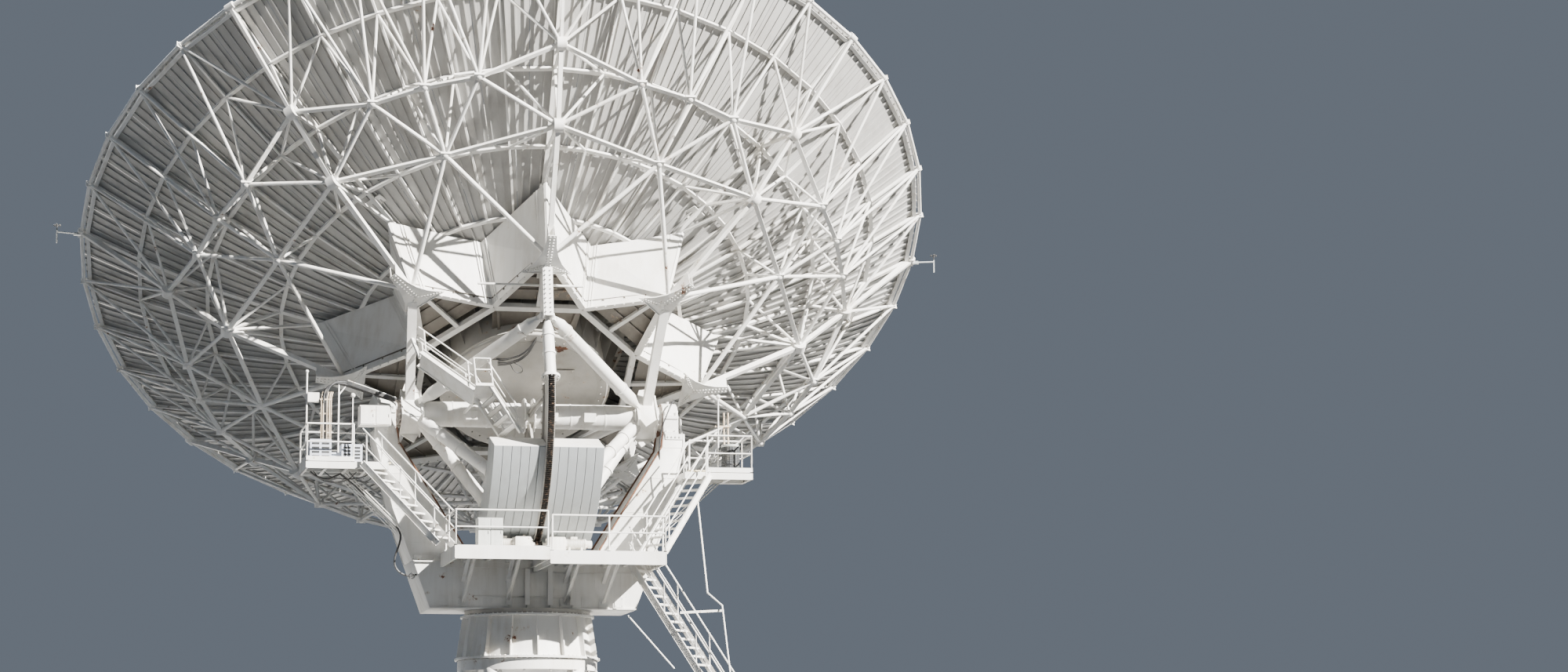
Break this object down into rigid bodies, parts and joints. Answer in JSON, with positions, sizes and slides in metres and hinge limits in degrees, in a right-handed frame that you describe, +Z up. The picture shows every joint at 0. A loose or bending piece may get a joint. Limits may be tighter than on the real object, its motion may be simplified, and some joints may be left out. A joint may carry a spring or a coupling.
{
  "type": "radio telescope dish antenna",
  "caption": "Fully steerable radio telescope: a lattice-backed parabolic dish that tilts on a yoke, which turns on a legged pedestal with stairs and platforms.",
  "frame": {"origin": "on the ground under the middle of the whole outline, with the dish tilted 54 degrees above the horizon as in the picture", "axes": "+Z up, +Y towards the side that the dish looks to, +X to the right of someone who stands behind the dish; the elevation axis runs along X, the azimuth axis along Z at Y = -3.3035"},
  "size_m": [26.8032, 22.0286, 27.0431],
  "materials": {
    "white_paint": "satin white, weathered",
    "aged_white_paint": "satin white with rust blotches",
    "panel_paint": "matt white",
    "grey_paint": "matt light grey",
    "machine_paint": "satin grey",
    "cabinet_paint": "satin grey",
    "greased_steel": "dark grease",
    "galvanised_steel": "dull zinc",
    "dark_grille": "matt dark grey"
  },
  "bodies": {
    "pedestal": {"azimuth_bearing": "aged_white_paint", "pedestal_drum": "white_paint", "leg_frame": "white_paint"},
    "yoke": {"yoke_base": "white_paint", "yoke_arm_left": "white_paint", "yoke_arm_right": "white_paint", "bearing_left": "white_paint", "bearing_right": "white_paint", "rear_platform": "white_paint", "left_platform": "white_paint", "right_platform": "white_paint", "left_stair": "white_paint", "right_stair": "white_paint", "access_stair": "white_paint", "elevation_drive_left": "machine_paint", "elevation_drive_right": "machine_paint", "control_cabinet": "cabinet_paint", "cooling_units": "cabinet_paint", "junction_cabinet": "white_paint", "round_cooler": "dark_grille"},
    "reflector": {"panel_ring_1": "panel_paint", "panel_ring_2": "panel_paint", "panel_ring_3": "panel_paint", "panel_ring_4": "panel_paint", "panel_ring_5": "panel_paint", "panel_ring_6": "panel_paint", "hub_section_1": "white_paint", "hub_section_2": "white_paint", "hub_section_3": "white_paint", "hub_section_4": "white_paint", "vertex_room": "aged_white_paint", "back_rib_1": "white_paint", "back_rib_2": "white_paint", "back_rib_3": "white_paint", "back_rib_4": "white_paint", "back_rib_5": "white_paint", "back_rib_6": "white_paint", "back_rib_7": "white_paint", "back_rib_8": "white_paint", "back_lattice_1": "white_paint", "back_lattice_2": "white_paint", "back_lattice_3": "white_paint", "back_lattice_4": "white_paint", "back_lattice_5": "white_paint", "back_lattice_6": "white_paint", "back_lattice_7": "white_paint", "back_lattice_8": "white_paint", "hub_stair": "white_paint", "trunnion_frame_left": "white_paint", "trunnion_frame_right": "white_paint", "elevation_axle": "white_paint", "sector_gear": "greased_steel", "counterweight_left": "grey_paint", "counterweight_right": "grey_paint", "apex_frame": "white_paint", "feed_tower": "white_paint", "quadrupod": "white_paint", "subreflector": "panel_paint", "anemometer_left": "galvanised_steel", "anemometer_right": "galvanised_steel"}
  },
  "joints": [
    {"name": "azimuth_turn", "type": "hinge", "parent": "pedestal", "child": "yoke", "pos_m": [0, -3.3035, 8.37], "axis": [0, 0, 1], "range_deg": [-270, 270]},
    {"name": "elevation_tilt", "type": "hinge", "parent": "yoke", "child": "reflector", "pos_m": [0, -3.3035, 14], "axis": [1, 0, 0], "range_deg": [-46.24, 70.76]}
  ]
}
